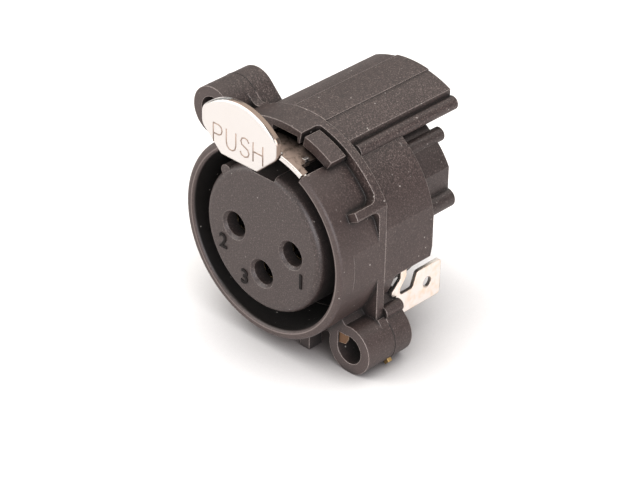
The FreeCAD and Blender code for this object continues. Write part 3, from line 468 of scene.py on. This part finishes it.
copies = new_node(tree, "GeometryNodeInstanceOnPoints", Points=start.outputs["Geometry"],
                  Instance=tube.outputs["Mesh"], Rotation=(math.radians(90), 0, 0))
real = new_node(tree, "GeometryNodeRealizeInstances", Geometry=copies.outputs["Instances"])
finished = new_node(tree, "GeometryNodeSetMaterial", Geometry=real.outputs["Geometry"],
                    Material=start.outputs["Finish"])
tree.links.new(finished.outputs["Geometry"], end.inputs["Geometry"])

seam_shade = black_moulding(
    "seam_shade", dark=(0.006, 0.005, 0.004), pale=(0.010, 0.008, 0.007),
    edge_colour_wear_and_light=(0.02, 0.017, 0.015), roughness=0.7, grain_scale=7000.0, grain_depth=0.01 * MM, dust=0.2)
points = bpy.data.meshes.new("boss_points")
points.from_pydata(boss_places, [], [])
maker = bpy.data.objects.new("boss_points", points)
modifier = maker.modifiers.new("rings", "NODES")
modifier.node_group = seam_rings
modifier[ring_inputs["Ring Radius"].identifier] = ring_radius
modifier[ring_inputs["Line Radius"].identifier] = line_radius
modifier[ring_inputs["Finish"].identifier] = seam_shade
add_piece("seam_lines", mesh_of(maker), "housing", seam_shade)

# Contact carrier: the same plastic, moulded apart, with its face in the cup and its ribbed cap
# behind the drum. Its cavity was polished, so the face is smoother and more even than the shells.
carrier_plastic = black_moulding(
    "carrier_plastic", dark=(0.0165, 0.0105, 0.0095), pale=(0.0375, 0.0262, 0.0238),
    edge_colour_wear_and_light=(0.26, 0.22, 0.20), roughness=0.44, grain_scale=6500.0, grain_depth=0.012 * MM, dust=0.3,
    speckled=(1.0, 1.0))
dress(nodes["insert"], carrier_plastic)

# Pin numbers: the real ones are sunk in the carrier's face and look dark from their own shadow.
# Here they are low figures that stand on the face, in a darker and duller plastic that paints that shadow.
shaded_figure_plastic = black_moulding(
    "shaded_figure_plastic", dark=(0.004, 0.003, 0.003), pale=(0.008, 0.006, 0.006),
    edge_colour_wear_and_light=(0.05, 0.045, 0.04), roughness=0.6, grain_scale=7500.0, grain_depth=0.01 * MM, dust=0.1,
    gloss=0.12)
figure_places = {"1": (5.30, -2.45), "2": (-5.35, -2.50), "3": (-2.33, -5.35)}
figure_height = 2.25 * MM
figure_depth = 0.07 * MM
figure_swell = 0.01 * MM
figure_lift = 0.02 * MM
carrier_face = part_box("insert")[0].y
for digit, (across, up) in figure_places.items():
    text = bpy.data.curves.new("figure_" + digit, "FONT")
    text.body = digit
    text.size = figure_height
    text.align_x = "CENTER"
    text.align_y = "CENTER"
    text.resolution_u = 4
    text.extrude = figure_depth
    text.offset = figure_swell
    text.bevel_depth = figure_depth * 0.4
    text.bevel_resolution = 1
    mesh = mesh_of(bpy.data.objects.new("figure_curve_" + digit, text))
    mesh.name = "figure_" + digit
    mesh.transform(Matrix.Rotation(math.radians(90), 4, "X"))
    mesh.transform(Matrix.Translation((across * MM, carrier_face - figure_lift, up * MM)))
    add_piece("figure_" + digit, mesh, "housing", shaded_figure_plastic)

# Latch: stamped and bent spring steel under bright nickel plate, with fine polishing marks. Its
# arched plate in the collar's slot is rougher and painted dark and mottled, a painted reflection of the
# dark collar; the push tab's rim has a painted dark reflection too. The leaf spring under the roof,
# whose free end rests on the latch arm, is darker and has no bright plate.
painted_plate_reflection = (0.30, 0.235, 0.20)
painted_reflection_patch = (0.13, 0.10, 0.08)
painted_rim_reflection = (0.20, 0.14, 0.105)
painted_unlit_brass = (0.012, 0.009, 0.006)
painted_shade_metal = (0.01, 0.007, 0.005)
tab_back = -5.0 * MM


def plated_metal(name, colour, tint, roughness, edge_colour_wear_and_light, marks_scale, painted_reflection_place=None, painted_shade_to=None,
                 stain_scale=260.0):
    """Sheet metal with polishing marks, faint stains, and edges with wear and painted light.

    painted_reflection_place is the front and the outer radius of the latch's arched plate, painted as a
    dark reflection;
    the rim of the push tab gets a painted dark reflection with it. painted_shade_to is how far back a
    contact is painted near black as painted shade in its hole.
    """
    material, tree, shader, _ = new_material(name)
    coordinates = tree.nodes.new("ShaderNodeTexCoord")
    place = coordinates.outputs["Object"]
    edges = add_group(tree, edge_wear_and_shade_masks, Radius=0.1 * MM)
    stretch = tree.nodes.new("ShaderNodeMapping")
    stretch.inputs["Scale"].default_value = (1.0, 0.15, 1.0)
    tree.links.new(place, stretch.inputs["Vector"])
    marks = noise_at(tree, stretch.outputs["Vector"], marks_scale, 5.0, 0.7)
    stains = ramp_at(tree, noise_at(tree, place, stain_scale, 3.0), 0.4, 0.8)
    base = mix_colour(tree, stains, colour, tint)
    sheen = calculate(tree, "MULTIPLY_ADD", marks, 0.16, roughness - 0.08)
    sheen = calculate(tree, "MULTIPLY_ADD", stains, 0.08, sheen)

    # Painted shade: the front of a contact turns near black in its hole.
    if painted_shade_to is not None:
        out_of_painted_shade = ramp_at(tree, parts_of(tree, place)["Y"], painted_shade_to, painted_shade_to + 0.5 * MM)
        base = mix_colour(tree, out_of_painted_shade, painted_unlit_brass, base)
    # Painted reflection: the arched plate behind the tab is painted dark and mottled, for the dark collar
    # it mirrors.
    if painted_reflection_place is not None:
        plate_front, plate_radius = painted_reflection_place
        along = parts_of(tree, place)["Y"]
        facing = parts_of(tree, coordinates.outputs["Normal"])
        behind = ramp_at(tree, along, plate_front, plate_front + 0.06 * MM)
        below = calculate(tree, "LESS_THAN", distance_from_axis(tree, place), plate_radius)
        painted_reflection = calculate(tree, "MULTIPLY", behind, below)
        reflection_patches = ramp_at(tree, noise_at(tree, place, 1500.0, 4.0, 0.7), 0.45, 0.70)
        base = mix_colour(tree, painted_reflection, base, mix_colour(tree, reflection_patches, painted_plate_reflection, painted_reflection_patch))
        sheen = calculate(tree, "MULTIPLY_ADD", painted_reflection, 0.22, sheen)
        # Painted reflection: a dark band on the push tab's rounded rim.
        on_tab = calculate(tree, "LESS_THAN", along, tab_back)
        rim = calculate(tree, "MULTIPLY", ramp_at(tree, facing["Y"], -0.93, -0.6), on_tab)
        rim = calculate(tree, "MULTIPLY", rim, calculate(tree, "GREATER_THAN", facing["X"], -0.2))
        base = mix_colour(tree, calculate(tree, "MULTIPLY", rim, 0.9), base, painted_rim_reflection)

    # Edges: wear, with a painted highlight on the tongue's leaf and a painted dark reflection on the
    # nickel.
    base = mix_colour(tree, calculate(tree, "MULTIPLY", edges.outputs["Edge"], 0.7), base, edge_colour_wear_and_light)
    # Painted shade: cavities turn near black.
    painted_shade = calculate(tree, "MULTIPLY", edges.outputs["Cavity"], 0.9)
    base = mix_colour(tree, painted_shade, base, painted_shade_metal)
    tree.links.new(base, shader.inputs["Base Color"])
    shader.inputs["Metallic"].default_value = 1.0
    tree.links.new(sheen, shader.inputs["Roughness"])
    add_bump(tree, shader, marks, edges.outputs["Normal"], 0.25, 0.01 * MM)
    return material


nickel = plated_metal(
    "nickel", colour=(0.715, 0.71, 0.695), tint=(0.69, 0.68, 0.665), roughness=0.17,
    edge_colour_wear_and_light=(0.55, 0.48, 0.43), marks_scale=2600.0, painted_reflection_place=(-2.1 * MM, 10.34 * MM))
dress(nodes["latch_lever"], nickel)
spring_steel = plated_metal(
    "spring_steel", colour=(0.52, 0.51, 0.50), tint=(0.42, 0.40, 0.38), roughness=0.34,
    edge_colour_wear_and_light=(0.32, 0.30, 0.28), marks_scale=3200.0)
dress(nodes["latch_spring"], spring_steel)

# Word on the push tab: the real one is pressed into the plate in single strokes, which look brown from
# the shade in them. Here each stroke is a thin tube of a browner metal that paints that shade, about
# three quarters of its thickness in the tab.
# A letter is its left edge in mm and its strokes: across in mm, and up as a share of its height.
shaded_engraving = plated_metal(
    "shaded_engraving", colour=(0.30, 0.235, 0.195), tint=(0.25, 0.19, 0.155), roughness=0.45,
    edge_colour_wear_and_light=(0.4, 0.34, 0.30), marks_scale=3600.0)
letter_height = 2.05 * MM
stroke_radius = 0.095 * MM
stroke_sink = 0.045 * MM
word_height = 12.1 * MM
letters = {
    "P": (-3.35, [[(0, 0), (0, 1)],
                  [(0, 1), (0.72, 1), (1.05, 0.93), (1.18, 0.74), (1.05, 0.55), (0.72, 0.47), (0, 0.47)]]),
    "U": (-1.60, [[(0, 1), (0, 0.33), (0.12, 0.12), (0.38, 0.01), (0.64, 0.0), (0.90, 0.01),
                   (1.16, 0.12), (1.28, 0.33), (1.28, 1)]]),
    "S": (0.25, [[(1.15, 0.82), (0.98, 0.95), (0.62, 1.0), (0.25, 0.93), (0.10, 0.76), (0.22, 0.60),
                  (0.62, 0.52), (1.03, 0.43), (1.18, 0.25), (1.03, 0.08), (0.62, 0.0), (0.20, 0.05),
                  (0.02, 0.20)]]),
    "H": (1.97, [[(0, 0), (0, 1)], [(0, 0.52), (1.28, 0.52)], [(1.28, 0), (1.28, 1)]]),
}
strokes = bpy.data.curves.new("push_strokes", "CURVE")
strokes.dimensions = "3D"
strokes.bevel_depth = stroke_radius
strokes.bevel_resolution = 2
strokes.use_fill_caps = True
for letter_left, lines in letters.values():
    for line in lines:
        stroke = strokes.splines.new("POLY")
        stroke.points.add(len(line) - 1)
        for point, (across, up) in zip(stroke.points, line):
            point.co = ((letter_left + across) * MM, 0, (up - 0.5) * letter_height, 1)
mesh = mesh_of(bpy.data.objects.new("push_strokes", strokes))
mesh.name = "push_word"
tab_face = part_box("latch_lever")[0].y
mesh.transform(Matrix.Translation((0, tab_face + stroke_sink, word_height)))
add_piece("push_word", mesh, "latch", shaded_engraving)

# Ground lug: sheet brass dipped in tin, so its faces are bright with faint orange stains and its
# cut edges stay warm. It stands beside the lower boss, with its blade in the cup.
tin = plated_metal(
    "tin", colour=(0.98, 0.945, 0.90), tint=(0.93, 0.78, 0.63), roughness=0.34,
    edge_colour_wear_and_light=(0.55, 0.27, 0.09), marks_scale=2200.0, stain_scale=900.0)
dress(nodes["ground_lug"], tin)

# Contacts: slotted tubes of bare brass with a round tail, dulled a little by handling. In front they
# lie deep in the carrier's holes, where painted shade turns them near black, so only their rear ends and
# tails show as brass.
contact_brass = plated_metal(
    "contact_brass", colour=(0.52, 0.37, 0.18), tint=(0.40, 0.27, 0.13), roughness=0.42,
    edge_colour_wear_and_light=(0.58, 0.44, 0.24), marks_scale=2800.0, painted_shade_to=8.0 * MM)
for name in ("contact_1", "contact_2", "contact_3"):
    dress(nodes[name], contact_brass)

# Screw contact: a bare brass tongue that lines the square corner of the lower screw hole. Its bent
# leaf shows in that corner, and its tip comes out between both mouldings at the boss's lower right.
brass = plated_metal(
    "brass", colour=(0.62, 0.42, 0.17), tint=(0.48, 0.30, 0.12), roughness=0.38,
    edge_colour_wear_and_light=(0.70, 0.52, 0.26), marks_scale=2800.0)
dress(nodes["screw_contact"], brass)
# The bent leaf gets a dark copy of the brass as painted shade for its corner, with a painted highlight on
# its pale edges.
shaded_tongue_brass = plated_metal(
    "shaded_tongue_brass", colour=(0.17, 0.10, 0.06), tint=(0.11, 0.065, 0.04), roughness=0.45,
    edge_colour_wear_and_light=(0.90, 0.78, 0.62), marks_scale=2800.0)


def prism(name, front, back):
    """A closed solid between two outlines that have the same number of corners."""
    count = len(front)
    faces = [tuple(range(count)), tuple(reversed(range(count, 2 * count)))]
    for number in range(count):
        following = (number + 1) % count
        faces.append((following, number, number + count, following + count))
    mesh = bpy.data.meshes.new(name)
    mesh.from_pydata(front + back, [], faces)
    return mesh


leaf_depths = (0.12, 0.34)
leaf_corners = [(8.03, -8.05), (9.35, -8.05), (9.28, -8.5), (8.92, -9.15), (8.03, -9.32)]
leaf_outlines = []
for depth in leaf_depths:
    leaf_outlines.append([(across * MM, depth * MM, up * MM) for across, up in leaf_corners])
add_piece("tongue_leaf", prism("tongue_leaf", *leaf_outlines), "housing", shaded_tongue_brass)

tip_depths = (3.25, 3.75)
tip_corners = [(2.4, -0.4), (2.4, 0.4), (3.0, 0.33), (3.0, -0.33)]
outward = Vector((1, 0, -1)).normalized()
sideways = Vector((1, 0, 1)).normalized()
boss_centre = Vector((boss_offset, 0, -boss_offset))
tip_outlines = []
for depth in tip_depths:
    corners = [boss_centre + (outward * out + sideways * side) * MM for out, side in tip_corners]
    tip_outlines.append([(corner.x, depth * MM, corner.z) for corner in corners])
add_piece("tongue_tip", prism("tongue_tip", *tip_outlines), "housing", brass)
